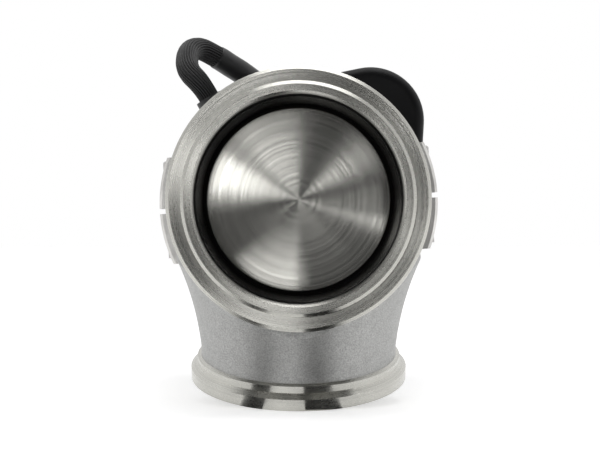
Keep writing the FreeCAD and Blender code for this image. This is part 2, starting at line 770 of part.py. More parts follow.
def make_cover_gasket():
    rim = plate("gasket_rim", hull_outline(s.gearbox_radius, s.motor_lobe_radius), housing_back,
                s.cover_gasket_thickness)
    room = plate("gasket_room", hull_outline(s.gearbox_radius - s.housing_wall,
                                             s.motor_lobe_radius - s.housing_wall),
                 housing_back - 1, s.cover_gasket_thickness + 2)
    holes = group("gasket_holes", rods_at("gasket_hole", ear_spots + lobe_spots,
                                          s.cover_screw_radius + s.slide_clearance,
                                          housing_back - 1, s.cover_gasket_thickness + 2))
    return cut("cover_gasket", rim, room, holes)


def make_rear_cover():
    sheet_metal = plate("cover_plate", hull_outline(s.gearbox_radius, s.motor_lobe_radius),
                        cover_front, s.cover_thickness)
    ears = rods_at("cover_ear", ear_spots, s.ear_radius, cover_front, s.cover_thickness)
    dome = turned("cover_dome", [
        (0, cover_front + 1),
        (s.dome_radius + 2, cover_front + 1),
        (s.dome_radius + 2, cover_back + 1),
        (s.dome_radius, cover_back + s.dome_edge),
        (s.dome_radius, cover_back + s.dome_length - s.dome_edge),
        (s.dome_radius - s.dome_edge, cover_back + s.dome_length, s.dome_edge, "left"),
        (0, cover_back + s.dome_length),
    ])
    boss = turned("cover_bearing_boss", [
        (s.bearing_radius, cover_front - s.bearing_width),
        (s.bearing_radius + s.bearing_wall, cover_front - s.bearing_width),
        (s.bearing_radius + s.bearing_wall, cover_front + 1),
        (s.bearing_radius, cover_front + 1),
    ])
    skin = fused("cover_skin", sheet_metal, dome, boss, *ears)
    bore = rod("dome_bore", s.sleeve_radius, 0, cover_front - 1, 0, s.cover_thickness + s.dome_length - 1)
    holes = group("cover_holes", rods_at("cover_hole", ear_spots + lobe_spots,
                                         s.cover_screw_radius + s.slide_clearance,
                                         cover_front - 1, s.cover_thickness + 2))
    threads = group("bracket_threads", rods_at("bracket_thread", bracket_spots(), s.cover_screw_radius,
                                               cover_back - s.cover_thickness * 0.8,
                                               s.cover_thickness))
    return cut("rear_cover", skin, bore, holes, threads)


def make_screws(name, spots, shank_radius, head_radius, head_height, seat, reach):
    """Cap screws along Y whose heads sit at y = seat and point to +Y."""
    screws = []
    for index, (x, z) in enumerate(spots, start=1):
        tag = "%s_%d" % (name, index)
        shank = rod(tag + "_shank", shank_radius, x, seat - reach, z, reach + head_height)
        head = rod(tag + "_head", head_radius, x, seat, z, head_height)
        screws.append(fused(tag, shank, head))
    return group(name, screws)


# ---------------------------------------------------------------------------
# Gear train, lead screw and motor
# ---------------------------------------------------------------------------

bearing_front = housing_front + s.housing_front_wall
gear_start = housing_back - s.gear_back_room
can_length = gear_start - bearing_front - s.can_gap
hub_end = cover_front - s.running_gap


def involute_point(base_radius, radius, start_angle, side):
    """The point of an involute flank at a radius; side is 1 or -1."""
    pressure = math.acos(min(1.0, base_radius / radius))
    angle = start_angle - side * (math.tan(pressure) - pressure)
    return FreeCAD.Vector(radius * math.cos(angle), 0, radius * math.sin(angle))


def gear_blank(teeth, module, thinning, width, start, phase):
    """A spur gear's toothed disc, extruded along Y, with one tooth centred on the phase angle."""
    pressure_angle = math.radians(25)
    pitch_radius = module * teeth / 2
    base_radius = pitch_radius * math.cos(pressure_angle)
    tip_radius = pitch_radius + module * 0.9
    root_radius = pitch_radius - module * 1.15
    flank_start = max(base_radius, root_radius + module * 0.2)
    half_tooth = math.pi / (2 * teeth) - thinning / (2 * pitch_radius)
    flank_turn = half_tooth + math.tan(pressure_angle) - pressure_angle
    foot_pressure = math.acos(min(1.0, base_radius / flank_start))
    foot_turn = flank_turn - (math.tan(foot_pressure) - foot_pressure)
    steps = 3
    corners = []
    for tooth in range(teeth):
        centre = phase + 2 * math.pi * tooth / teeth
        radii = [flank_start + (tip_radius - flank_start) * i / steps for i in range(steps + 1)]
        rising = [involute_point(base_radius, r, centre - flank_turn, -1) for r in radii]
        falling = [involute_point(base_radius, r, centre + flank_turn, 1) for r in reversed(radii)]
        foot = centre - foot_turn
        foot_end = centre + foot_turn
        corners.append(FreeCAD.Vector(root_radius * math.cos(foot), 0, root_radius * math.sin(foot)))
        corners += rising + falling
        corners.append(FreeCAD.Vector(root_radius * math.cos(foot_end), 0,
                                      root_radius * math.sin(foot_end)))
    corners = [corner + FreeCAD.Vector(0, start, 0) for corner in corners]
    face = Part.Face(Part.makePolygon(corners + corners[:1]))
    return face.extrude(FreeCAD.Vector(0, width, 0))


def coded(name, shape):
    """A piece whose shape is made in code."""
    piece = doc.addObject("Part::Feature", name)
    piece.Label = name
    piece.Shape = shape
    return piece


teeth_of_gear = int(s.gear_teeth.number)
teeth_of_pinion = int(s.pinion_teeth.number)
module = 2 * gear_distance.number / (teeth_of_gear + teeth_of_pinion)
mesh_angle = math.atan2(s.motor_z.number, s.motor_x.number)


def make_nut_gear():
    toothed = coded("nut_gear_teeth", gear_blank(
        teeth_of_gear, module, s.tooth_thinning.number, s.gear_width.number, gear_start.number,
        mesh_angle + math.pi / teeth_of_gear))
    root = as_size(module * teeth_of_gear / 2 - module * 1.15)
    web_middle = gear_start + s.gear_width / 2
    web_front = web_middle - s.gear_web_thickness / 2
    web_back = web_middle + s.gear_web_thickness / 2
    rim_inner = root - s.gear_rim_thickness
    recess_front = turned("gear_recess_front", [
        (s.hub_radius, gear_start - 1), (rim_inner, gear_start - 1), (rim_inner, web_front),
        (s.hub_radius, web_front)])
    recess_back = turned("gear_recess_back", [
        (s.hub_radius, web_back), (rim_inner, web_back), (rim_inner, gear_start + s.gear_width + 1),
        (s.hub_radius, gear_start + s.gear_width + 1)])
    journal = s.bearing_bore_radius - s.slide_clearance
    hub = turned("gear_hub", [
        (0, bearing_front + s.running_gap),
        (journal, bearing_front + s.running_gap),
        (journal, bearing_front + s.bearing_width),
        (s.hub_radius, bearing_front + s.bearing_width + s.running_gap),
        (s.hub_radius, cover_front - s.bearing_width - s.running_gap),
        (journal, cover_front - s.bearing_width),
        (journal, hub_end),
        (0, hub_end),
    ])
    bore = turned("nut_bore", [
        (0, bearing_front),
        (s.nut_mouth_radius, bearing_front),
        (s.nut_mouth_radius, bearing_front + s.nut_mouth_length),
        (s.screw_radius + s.slide_clearance, bearing_front + s.nut_mouth_length),
        (s.screw_radius + s.slide_clearance, cover_front + 1),
        (0, cover_front + 1),
    ])
    window_spots = spots_round(as_size(0), as_size(0), (s.hub_radius + rim_inner) / 2,
                               range(15, 360, 60))
    windows = rods_at("gear_window", window_spots, (rim_inner - s.hub_radius) * 0.34, gear_start,
                      s.gear_width)
    disc = cut("gear_disc", toothed, recess_front, recess_back, group("gear_windows", windows))
    return cut("nut_gear", fused("gear_solid", disc, hub), bore)


def make_pinion():
    start = gear_start + s.running_gap * 2
    toothed = coded("pinion_teeth_disc", gear_blank(
        teeth_of_pinion, module, s.tooth_thinning.number, s.gear_width.number - 1.0, start.number,
        mesh_angle + math.pi))
    place(toothed, s.motor_x, 0, s.motor_z)
    bore = rod("pinion_bore", s.motor_shaft_radius, s.motor_x, start - 1, s.motor_z, s.gear_width + 2)
    return cut("motor_pinion", toothed, bore)


def make_bearing(name, start):
    """Two rings and eight balls."""
    middle = (s.bearing_bore_radius + s.bearing_radius) / 2
    ring = (s.bearing_radius - s.bearing_bore_radius) * 0.26
    width = s.bearing_width
    inner = turned(name + "_inner_ring", [
        (s.bearing_bore_radius, start), (s.bearing_bore_radius + ring, start),
        (s.bearing_bore_radius + ring, start + width), (s.bearing_bore_radius, start + width)])
    outer = turned(name + "_outer_ring", [
        (s.bearing_radius - ring, start), (s.bearing_radius, start),
        (s.bearing_radius, start + width), (s.bearing_radius - ring, start + width)])
    shield = turned(name + "_cage", [
        (s.bearing_bore_radius + ring + 0.1, start + width * 0.3),
        (s.bearing_radius - ring - 0.1, start + width * 0.3),
        (s.bearing_radius - ring - 0.1, start + width * 0.7),
        (s.bearing_bore_radius + ring + 0.1, start + width * 0.7)])
    return group(name, [inner, outer, shield])


def make_lead_screw():
    round_end = cover_front - s.valve_travel - s.running_gap
    flat_length = s.stem_end + s.screw_length - round_end
    shank = rod("screw_shank", s.screw_radius, 0, s.stem_end, 0, s.screw_length)
    reach = s.screw_radius * 2
    flats = [block("screw_flat_%d" % (index + 1), -reach,
                   round_end, s.screw_flat if index == 0 else -s.screw_flat - reach,
                   reach * 2, flat_length + 1, reach) for index in range(2)]
    return cut("lead_screw", shank, *flats)


def make_anti_rotation_sleeve():
    end = cover_back + s.dome_length - 2.5
    tube = rod("sleeve_tube", s.sleeve_radius, 0, cover_front, 0, end - cover_front)
    clear = s.slide_clearance
    round_bore = rod("sleeve_round", s.screw_radius + clear, 0, cover_front - 1, 0, end - cover_front + 2)
    reach = s.screw_radius * 2
    gap = s.screw_flat + clear
    slot = block("sleeve_slot", -reach, cover_front - 2, -gap, reach * 2, end - cover_front + 4, gap * 2)
    return cut("anti_rotation_sleeve", tube, common("sleeve_bore", round_bore, slot))


def make_motor():
    lobe = s.motor_lobe_radius - s.housing_wall
    x, z = s.motor_x, s.motor_z
    start = bearing_front
    drum = rod("can_drum", lobe, x, start, z, can_length)
    room = rod("can_room", lobe - s.can_wall, x, start + s.can_wall, z, can_length - s.can_wall * 2)
    shaft_hole = rod("can_shaft_hole", s.motor_shaft_radius + s.slide_clearance, x, start - 1, z,
                     can_length + 2)
    can = cut("motor_can", drum, room, shaft_hole)
    core = rod("rotor_core", s.rotor_radius, x, start + s.can_wall + s.rotor_end_gap, z,
               can_length - (s.can_wall + s.rotor_end_gap) * 2)
    shaft_end = gear_start + s.gear_width + 1
    shaft = rod("rotor_shaft", s.motor_shaft_radius, x, start + s.running_gap, z,
                shaft_end - start - s.running_gap)
    rotor = fused("motor_rotor", core, shaft)
    magnet = rod("sensor_magnet", s.magnet_radius, x, shaft_end, z, s.magnet_length)
    board = block("board_blank", x - s.board_side / 2, cover_front - s.board_thickness,
                  z - s.board_side / 2, s.board_side, s.board_thickness, s.board_side)
    lobe_room = rod("board_round", s.lobe_boss_ring_radius - s.lobe_boss_radius - s.running_gap, x,
                    cover_front - s.board_thickness - 1, z, s.board_thickness + 2)
    return can, rotor, magnet, common("sensor_board", board, lobe_room)


# ---------------------------------------------------------------------------
# Lead, gland and connector
# ---------------------------------------------------------------------------

# The lead's route, from the gland to the connector.
ROUTE = [
    (-35.1, 117.0, 41.6),
    (-38.1, 117.0, 46.8),
    (-44.3, 120.5, 52.9),
    (-44.3, 127.5, 60.8),
    (-40.3, 134.0, 63.2),
    (-34.8, 138.0, 60.8),
    (-28.0, 141.5, 56.8),
    (-20.4, 145.5, 52.2),
    (-15.2, 152.5, 48.0),
    (-15.2, 161.5, 48.0),
]
SLEEVE_RUNS = 5


def rounded_path(points):
    """Straight runs joined by tangent arcs; returns the edges and each arc's radius."""
    corners = [FreeCAD.Vector(*point) for point in points]
    edges = []
    radii = []
    here = corners[0]
    for before, corner, after in zip(corners, corners[1:], corners[2:]):
        inward = (before - corner).normalize()
        outward = (after - corner).normalize()
        half_turn = (math.pi - inward.getAngle(outward)) / 2
        reach = 0.45 * min((before - corner).Length, (after - corner).Length)
        radius = reach / math.tan(half_turn)
        start = corner + inward * reach
        end = corner + outward * reach
        middle_way = (inward + outward).normalize()
        middle = corner + middle_way * (radius / math.cos(half_turn) - radius)
        edges.append(Part.LineSegment(here, start).toShape())
        edges.append(Part.Arc(start, middle, end).toShape())
        radii.append(radius)
        here = end
    edges.append(Part.LineSegment(here, corners[-1]).toShape())
    return edges, radii


def tube_along(edges, radius):
    """A round tube along a path; its volume must match its section times its length."""
    wire = Part.Wire(edges)
    start = edges[0].valueAt(edges[0].FirstParameter)
    heading = edges[0].tangentAt(edges[0].FirstParameter)
    section = Part.Wire([Part.makeCircle(radius, start, heading)])
    tube = wire.makePipeShell([section], True, True)
    expected = math.pi * radius ** 2 * wire.Length
    if abs(tube.Volume - expected) > 0.01 * expected:
        raise ValueError("the lead's tube has the wrong volume")
    return tube


def make_lead():
    edges, radii = rounded_path(ROUTE)
    print("lead: length %.1f, arc radii %s" % (
        sum(edge.Length for edge in edges), ", ".join("%.1f" % radius for radius in radii)))
    switch = 2 * SLEEVE_RUNS
    sleeve = coded("lead_sleeve", tube_along(edges[:switch], s.lead_radius.number))
    boot = coded("heat_shrink", tube_along(edges[switch:], s.lead_radius.number))
    return sleeve, boot


def lay_on_gland(piece, distance):
    """Lay a piece that stands along Z on the gland's axis, a distance out from where the lead leaves."""
    heading_x = cosine(s.gland_angle)
    heading_z = sine(s.gland_angle)
    return place(piece, s.gland_x + heading_x * distance, s.gland_y, s.gland_z + heading_z * distance,
                 axis=(0, 1, 0), angle=as_size(90) - s.gland_angle)


def gland_rod(name, radius, start, length):
    cylinder = doc.addObject("Part::Cylinder", name)
    cylinder.Label = name
    bind(cylinder, "Radius", radius)
    bind(cylinder, "Height", length)
    return lay_on_gland(cylinder, start)


def make_cable_gland():
    collar = gland_rod("gland_collar", s.gland_collar_radius, -s.gland_collar_length,
                       s.gland_collar_length)
    seat = -(s.gland_hex_length + s.gland_collar_length)
    nut = lay_on_gland(hexagon("gland_nut", s.gland_hex_radius, s.gland_hex_length), seat)
    spigot = gland_rod("gland_spigot", s.gland_spigot_radius, seat - s.gland_spigot_length,
                       s.gland_spigot_length)
    return fused("cable_gland", collar, nut, spigot)


def make_connector():
    x, start, z = (as_size(value) for value in ROUTE[-1])
    shell = rod("connector_shell", s.connector_radius, x, start, z, s.connector_length)
    panel = start + s.connector_panel
    flange = rod("connector_flange", s.connector_flange_radius, x, panel - s.connector_flange_width, z,
                 s.connector_flange_width)
    nut = rod("connector_nut", s.connector_flange_radius, x, panel + s.bracket_thickness, z,
              s.connector_flange_width)
    mouth = rod("connector_mouth", s.connector_mouth_radius, x,
                start + s.connector_length - s.connector_mouth_depth, z, s.connector_mouth_depth + 1)
    return cut("connector", fused("connector_solid", shell, flange, nut), mouth)


def make_bracket():
    """A folded plate: a foot on the rear cover, a shelf, and an upright that holds the connector."""
    x, start, z = (as_size(value) for value in ROUTE[-1])
    panel = start + s.connector_panel
    thick = s.bracket_thickness
    low_x = x - s.bracket_width / 2
    shelf = z - s.bracket_drop
    foot = block("bracket_foot", low_x, cover_back, shelf - s.bracket_foot_height, s.bracket_width,
                 thick, s.bracket_foot_height + thick)
    ledge = block("bracket_ledge", low_x, cover_back, shelf, s.bracket_width,
                  panel + thick - cover_back, thick)
    upright_plate = block("bracket_upright", low_x, panel, shelf, s.bracket_width, thick, s.bracket_drop)
    crown = rod("bracket_crown", s.bracket_width / 2, x, panel, z, thick)
    hole = rod("bracket_hole", s.connector_radius, x, panel - 1, z, thick + 2)
    screws = rods_at("bracket_screw_hole", bracket_spots(), s.cover_screw_radius, cover_back - 1,
                     thick + 2)
    return cut("connector_bracket", fused("bracket_blank", foot, ledge, upright_plate, crown), hole,
               *screws)


def bracket_spots():
    x, start, z = (as_size(value) for value in ROUTE[-1])
    height = z - s.bracket_drop - s.bracket_foot_height * 0.5
    return [(x - s.bracket_width / 4, height), (x + s.bracket_width / 4, height)]


# ---------------------------------------------------------------------------
# Assembly
# ---------------------------------------------------------------------------

clamp_upper, clamp_lower = make_clamps()
clamp_bolts, clamp_nuts = make_clamp_hardware()
motor_can, motor_rotor, sensor_magnet, sensor_board = make_motor()
lead_sleeve, heat_shrink = make_lead()

ASSEMBLY = [
    make_valve_body(), make_inlet_flange(), make_outlet_flange(), make_valve_seat(), make_valve(),
    make_stem_guide(),
    make_insulating_gasket(), make_actuator_base(), make_stem_seal(),
    clamp_upper, clamp_lower, clamp_bolts, clamp_nuts,
    make_housing(), make_cover_gasket(), make_rear_cover(),
    make_screws("base_screws", base_spots, s.base_screw_radius, s.base_head_radius,
                s.base_head_height, housing_front + s.housing_front_wall,
                s.housing_front_wall + s.base_screw_reach),
    make_screws("cover_screws", ear_spots + lobe_spots, s.cover_screw_radius, s.cover_head_radius,
                s.cover_head_height, cover_back, cover_back - housing_back + s.cover_screw_reach),
    make_nut_gear(), make_bearing("front_bearing", bearing_front),
    make_bearing("rear_bearing", cover_front - s.bearing_width),
    make_lead_screw(), make_anti_rotation_sleeve(),
    motor_can, motor_rotor, make_pinion(), sensor_magnet, sensor_board,
    make_cable_gland(), lead_sleeve, heat_shrink, make_connector(), make_bracket(),
    make_screws("bracket_screws", bracket_spots(), s.cover_screw_radius, s.cover_head_radius,
                s.cover_head_height, cover_back + s.bracket_thickness,
                s.bracket_thickness + s.cover_thickness * 0.8),
]

doc.recompute()

for item in doc.Objects:
    if "Invalid" in item.State or "Error" in item.State:
        raise ValueError("%s did not build: %s" % (item.Label, item.State))
for piece in ASSEMBLY:
    if piece.Shape.isNull() or not piece.Shape.isValid() or not piece.Shape.Solids:
        raise ValueError("%s is not a valid solid" % piece.Label)

os.makedirs("parts", exist_ok=True)
for piece in ASSEMBLY:
    piece.Shape.exportStep("parts/%s.step" % piece.Label)
    print("%-22s %2d solids %10.1f mm3" % (piece.Label, len(piece.Shape.Solids), piece.Shape.Volume))
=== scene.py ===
"""Looks of a turbo wastegate: the lead, the valve's crowned face, screws, finishes and a studio.

Lengths are in metres in the part's own frame: the valve axis is Y, the inlet faces -Y and +Z is up.
"""
import math

import bmesh
import bpy
from mathutils import Matrix, Vector


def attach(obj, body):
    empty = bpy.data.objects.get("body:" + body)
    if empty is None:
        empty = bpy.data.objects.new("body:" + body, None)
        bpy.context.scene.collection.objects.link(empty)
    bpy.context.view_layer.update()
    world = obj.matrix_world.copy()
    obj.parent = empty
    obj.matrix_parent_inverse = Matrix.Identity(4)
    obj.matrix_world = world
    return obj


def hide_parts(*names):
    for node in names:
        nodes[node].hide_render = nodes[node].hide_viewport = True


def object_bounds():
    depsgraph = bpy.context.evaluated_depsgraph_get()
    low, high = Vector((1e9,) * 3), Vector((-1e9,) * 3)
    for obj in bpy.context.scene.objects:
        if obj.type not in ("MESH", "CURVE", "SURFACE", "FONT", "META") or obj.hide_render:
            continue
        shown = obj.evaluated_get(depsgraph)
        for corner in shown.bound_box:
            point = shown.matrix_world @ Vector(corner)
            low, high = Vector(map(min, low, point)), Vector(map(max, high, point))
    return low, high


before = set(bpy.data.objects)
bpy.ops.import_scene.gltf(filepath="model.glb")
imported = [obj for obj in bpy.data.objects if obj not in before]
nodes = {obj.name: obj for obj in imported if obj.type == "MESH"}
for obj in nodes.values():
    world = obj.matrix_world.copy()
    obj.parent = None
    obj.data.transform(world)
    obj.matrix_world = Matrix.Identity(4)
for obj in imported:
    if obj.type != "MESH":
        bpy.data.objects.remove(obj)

cad_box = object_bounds()
MM = 0.001

# Places that the part's source gives too, in millimetres where no MM follows.
CLAMP_TURN = math.radians(3.5)
CLAMP_MIDDLE = 101.75 * MM
CLAMP_BOLT_OUT = 46.6 * MM
CLAMP_SEAT = 14.0 * MM
CLAMP_BOLT_RADIUS = 2.5 * MM
CLAMP_BOLT_LENGTH = 33 * MM
CLAMP_HEAD = (4.25 * MM, 5 * MM)
COVER_HEAD_HEIGHT = 2.6 * MM
COVER_SCREW_RADIUS = 1.5 * MM
CONNECTOR_X = -15.2
CONNECTOR_Z = 48.0
OUTLET_START = Vector((0, 37.7, 0)) * MM
OUTLET_RAKE = math.radians(13.9)
OUTLET_AXIS = Vector((0, math.sin(OUTLET_RAKE), -math.cos(OUTLET_RAKE)))
LEAD_RADIUS = 4.5 * MM
ROUTE = [
    (-35.1, 117.0, 41.6),
    (-38.1, 117.0, 46.8),
    (-44.3, 120.5, 52.9),
    (-44.3, 127.5, 60.8),
    (-40.3, 134.0, 63.2),
    (-34.8, 138.0, 60.8),
    (-28.0, 141.5, 56.8),
    (-20.4, 145.5, 52.2),
    (-15.2, 152.5, 48.0),
    (-15.2, 161.5, 48.0),
]


# ---------------------------------------------------------------------------
# Camera
# ---------------------------------------------------------------------------

CAMERA_PLACE = Vector((0.5, -500, -8.3)) * MM
CAMERA_LENS = 94.4
CAMERA_SENSOR = 36


def make_camera():
    data = bpy.data.cameras.new("camera")
    data.lens = CAMERA_LENS
    data.sensor_width = CAMERA_SENSOR
    camera = bpy.data.objects.new("camera", data)
    bpy.context.scene.collection.objects.link(camera)
    camera.location = CAMERA_PLACE
    camera.rotation_euler = (math.radians(90), 0, 0)
    bpy.context.scene.camera = camera


make_camera()


# ---------------------------------------------------------------------------
# Meshes
# ---------------------------------------------------------------------------

own_pieces = []


def new_object(name, mesh, body, slot, replaced=None):
    """A piece of this scene on a body, in place of a node where one is given."""
    obj = bpy.data.objects.new(name, mesh)
    bpy.context.scene.collection.objects.link(obj)
    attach(obj, body)
    if replaced:
        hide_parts(replaced)
    own_pieces.append((obj, slot))
    return obj


def mesh_of(name, rings, closed_ends=True):
    """A skin over rings of equal counts of points, with a fan over each end."""
    count = len(rings[0])
    vertices = [point for ring in rings for point in ring]
    faces = []
    for row in range(len(rings) - 1):
        for column in range(count):
            following = (column + 1) % count
            faces.append((row * count + column, row * count + following,
                          (row + 1) * count + following, (row + 1) * count + column))
    if closed_ends:
        for row, order in ((0, -1), (len(rings) - 1, 1)):
            centre = len(vertices)
            ring = rings[row]
            vertices.append(sum(ring, Vector()) / count)
            for column in range(count):
                following = (column + 1) % count
                corners = (row * count + column, row * count + following, centre)
                faces.append(corners[::order])
    mesh = bpy.data.meshes.new(name)
    mesh.from_pydata(vertices, [], faces)
    mesh.shade_smooth()
    return mesh


def frames_along(points):
    """The heading and two cross directions at each point of a line, carried along without twist."""
    headings = []
    for index in range(len(points)):
        before = points[max(index - 1, 0)]
        after = points[min(index + 1, len(points) - 1)]
        headings.append((after - before).normalized())
    side = headings[0].orthogonal().normalized()
    result = []
    for heading in headings:
        side = (side - heading * side.dot(heading)).normalized()
        result.append((heading, side, heading.cross(side)))
    return result


def distances_along(points):
    total = 0.0
    result = [0.0]
    for before, after in zip(points, points[1:]):
        total += (after - before).length
        result.append(total)
    return result


# ---------------------------------------------------------------------------
# Lead: one ribbed sleeve from the gland to the connector, and a smooth boot over its far part
# ---------------------------------------------------------------------------

def lead_line():
    """Points of one smooth curve over the route."""
    curve = bpy.data.curves.new("lead_line", "CURVE")
    curve.dimensions = "3D"
    curve.resolution_u = 32
    spline = curve.splines.new("NURBS")
    spline.points.add(len(ROUTE) - 1)
    for point, place in zip(spline.points, ROUTE):
        point.co = (place[0] * MM, place[1] * MM, place[2] * MM, 1)
    spline.order_u = 3
    spline.use_endpoint_u = True
    holder = bpy.data.objects.new("lead_line", curve)
    mesh = bpy.data.meshes.new_from_object(holder)
    points = [vertex.co.copy() for vertex in mesh.vertices]
    bpy.data.objects.remove(holder)
    bpy.data.meshes.remove(mesh)
    return points


RIBS = 26
RIB_DEPTH = 0.5 * MM
POINTS_PER_RIB = 8
GATHER_REACH = 7 * MM
GATHER_TWIST = 0.35
GATHER_WAIST = 0.10
GATHER_DEEPER = 0.9
SLOW_TWIST = 0.05
SLOW_TWIST_REACH = 9 * MM
BOOT_START = 41.5 * MM
BOOT_STEPS = 72
BOOT_WALL = 0.28
BOOT_EDGE_DROP = 0.16
BOOT_EDGE_REACH = 0.5 * MM
BOOT_SAG = 0.05 * MM


def make_sleeve(points):
    """A round sleeve with ribs along it, drawn in and twisted where it enters the gland."""
    steps = RIBS * POINTS_PER_RIB
    rings = []
    for point, place, (heading, side, across) in zip(points, distances_along(points),
                                                     frames_along(points)):
        gathered = math.exp(-((place / GATHER_REACH) ** 2))
        twist = GATHER_TWIST * gathered + SLOW_TWIST * math.sin(place / SLOW_TWIST_REACH)
        outer = LEAD_RADIUS * (1 - GATHER_WAIST * gathered)
        depth = RIB_DEPTH * (1 + GATHER_DEEPER * gathered)
        ring = []
        for step in range(steps):
            angle = 2 * math.pi * step / steps
            ridge = abs(math.sin(RIBS * angle / 2)) ** 0.75
            radius = outer - depth * (1 - ridge)
            turned = angle + twist
            ring.append(point + (side * math.cos(turned) + across * math.sin(turned)) * radius)
        rings.append(ring)
    return mesh_of("lead", rings)


def make_boot(points):
    """Heat-shrink boot: smooth, with a rolled edge, and shallow sags where it bridges the ribs."""
    rings = []
    for point, place, (heading, side, across) in zip(points, distances_along(points),
                                                     frames_along(points)):
        along = place - BOOT_START
        if along < 0:
            continue
        edge = math.exp(-((along / BOOT_EDGE_REACH) ** 2))
        ring = []
        for step in range(BOOT_STEPS):
            angle = 2 * math.pi * step / BOOT_STEPS
            sag = (BOOT_SAG * math.sin(3 * angle + along / (3.1 * MM))
                   * math.sin(along / (2.3 * MM)))
            radius = LEAD_RADIUS + (BOOT_WALL - BOOT_EDGE_DROP * edge) * MM + sag
            ring.append(point + (side * math.cos(angle) + across * math.sin(angle)) * radius)
        rings.append(ring)
    return mesh_of("lead_boot", rings)


def make_lead():
    points = lead_line()
    sleeve = new_object("lead", make_sleeve(points), "valve_body", "lead_rubber", "lead_sleeve")
    boot = new_object("lead_boot", make_boot(points), "valve_body", "shrink_black", "heat_shrink")


make_lead()


# ---------------------------------------------------------------------------
# Turned pieces
# ---------------------------------------------------------------------------

def lathe(name, profile, steps=192):
    """A solid turned about the valve axis from (radius, y) points, starting and ending on it."""
    rings = []
    for radius, y in profile[1:-1]:
        rings.append([Vector((radius * math.cos(2 * math.pi * step / steps), y,
                              radius * math.sin(2 * math.pi * step / steps))) * MM
                      for step in range(steps)])
    mesh = mesh_of(name, rings)
    mesh.vertices[len(rings) * steps].co = Vector((0, profile[0][1], 0)) * MM
    mesh.vertices[len(rings) * steps + 1].co = Vector((0, profile[-1][1], 0)) * MM
    mesh.set_sharp_from_angle(angle=math.radians(25))
    return mesh


VALVE_CROWN = 2.0
VALVE_FACE = 12.0
VALVE_FLAT = 29.5
CROWN_STEPS = 24
VALVE_BACK = [
    (29.75, 12.06), (29.93, 12.2), (30.0, 12.5), (30.0, 14.1),  # rounded edge and side
    (32.4, 16.5), (32.4, 19.0), (12.0, 24.0),                   # seat cone, rim and back
    (9.0, 24.8), (6.6, 26.6), (5.4, 28.6), (5.0, 30.0),         # fillet into the stem
    (5.0, 109.0), (0, 109.0),                                   # stem
]


def make_valve():
    """The poppet with its lightly crowned, turned face."""
    crown = []
    for index in range(1, CROWN_STEPS + 1):
        radius = VALVE_FLAT * index / CROWN_STEPS
        crown.append((radius, VALVE_FACE - VALVE_CROWN * (1 - (radius / VALVE_FLAT) ** 2)))
    profile = [(0, VALVE_FACE - VALVE_CROWN)] + crown + VALVE_BACK
    new_object("valve_turned", lathe("valve_turned", profile), "valve", "turned_stainless", "valve")


make_valve()


# ---------------------------------------------------------------------------
# Screws, connector pins and seal
# ---------------------------------------------------------------------------

HEX = 6
KNURLS = 24
KNURL_DEPTH = 0.1 * MM
# A cap screw's head as shares of its radius and height, from the socket's floor out to the seat.
HEAD_SOCKET = ((0.25, 0.45), (0.5, 0.42), (0.5, 0.95), (0.56, 1.0))
HEAD_TOP = ((0.86, 1.0), (0.97, 0.92))
HEAD_GRIP = (0.82, 0.1)
HEAD_FOOT = 0.96
ROWS_PER_PITCH = 5
THREAD_LENGTH = 9 * MM
THREAD_PITCH_SHARE = 0.32
THREAD_DEPTH_SHARE = 0.13
TIP_LENGTH_SHARE = 0.3
TIP_RADIUS_SHARE = 0.75


def turned_ring(placing, radius, station, sides=0, steps=48):
    """A closed row of points at a station of placing's Z; with sides, a polygon, by its flats."""
    ring = []
    for step in range(steps):
        angle = 2 * math.pi * step / steps
        reach = radius(angle) if callable(radius) else radius
        if sides:
            part = 2 * math.pi / sides
            reach = reach / math.cos((angle % part) - part / 2)
        ring.append(placing @ Vector((reach * math.cos(angle), reach * math.sin(angle), station)))
    return ring


def thread_rows(placing, radius, bottom, top):
    """Rows of a helical thread from bottom to top, which runs out at both ends."""
    pitch = radius * THREAD_PITCH_SHARE
    depth = radius * THREAD_DEPTH_SHARE
    rows = []
    count = max(int((top - bottom) / pitch * ROWS_PER_PITCH), 2)
    for row in range(count + 1):
        station = bottom + (top - bottom) * row / count
        fade = min(1.0, (station - bottom) / pitch, (top - station) / pitch)

        def reach(angle, station=station, fade=fade):
            turn = (station / pitch - angle / (2 * math.pi)) % 1.0
            return radius - depth * fade * abs(2 * turn - 1)
        rows.append(turned_ring(placing, reach, station))
    return rows


def socket_screw(placing, head, height, shank, length, threaded=False):
    """Rows of a cap screw: a knurled head above 0 with a hex socket, and the shank below."""
    def gripped(angle):
        return head - KNURL_DEPTH * (0.5 + 0.5 * math.cos(KNURLS * angle))

    tip = shank * TIP_LENGTH_SHARE
    rows = [turned_ring(placing, head * out, height * up, HEX) for out, up in HEAD_SOCKET]
    rows += [turned_ring(placing, head * out, height * up) for out, up in HEAD_TOP]
    rows += [turned_ring(placing, gripped, height * up) for up in HEAD_GRIP]
    rows += [turned_ring(placing, head * HEAD_FOOT, 0.0), turned_ring(placing, shank, 0.0)]
    if threaded:
        thread_top = THREAD_LENGTH - length
        rows.append(turned_ring(placing, shank, thread_top))
        rows += thread_rows(placing, shank, tip - length, thread_top)[::-1]
    else:
        rows.append(turned_ring(placing, shank, tip - length))
    rows.append(turned_ring(placing, shank * TIP_RADIUS_SHARE, -length))
    return rows


def joined(name, parts, slot, replaced=None):
    """One object of several meshes, on the fixed body."""
    whole = bmesh.new()
    for mesh in parts:
        whole.from_mesh(mesh)
        bpy.data.meshes.remove(mesh)
    bmesh.ops.recalc_face_normals(whole, faces=whole.faces)
    mesh = bpy.data.meshes.new(name)
    whole.to_mesh(mesh)
    whole.free()
    mesh.shade_smooth()
    mesh.set_sharp_from_angle(angle=math.radians(32))
    new_object(name, mesh, "valve_body", slot, replaced)


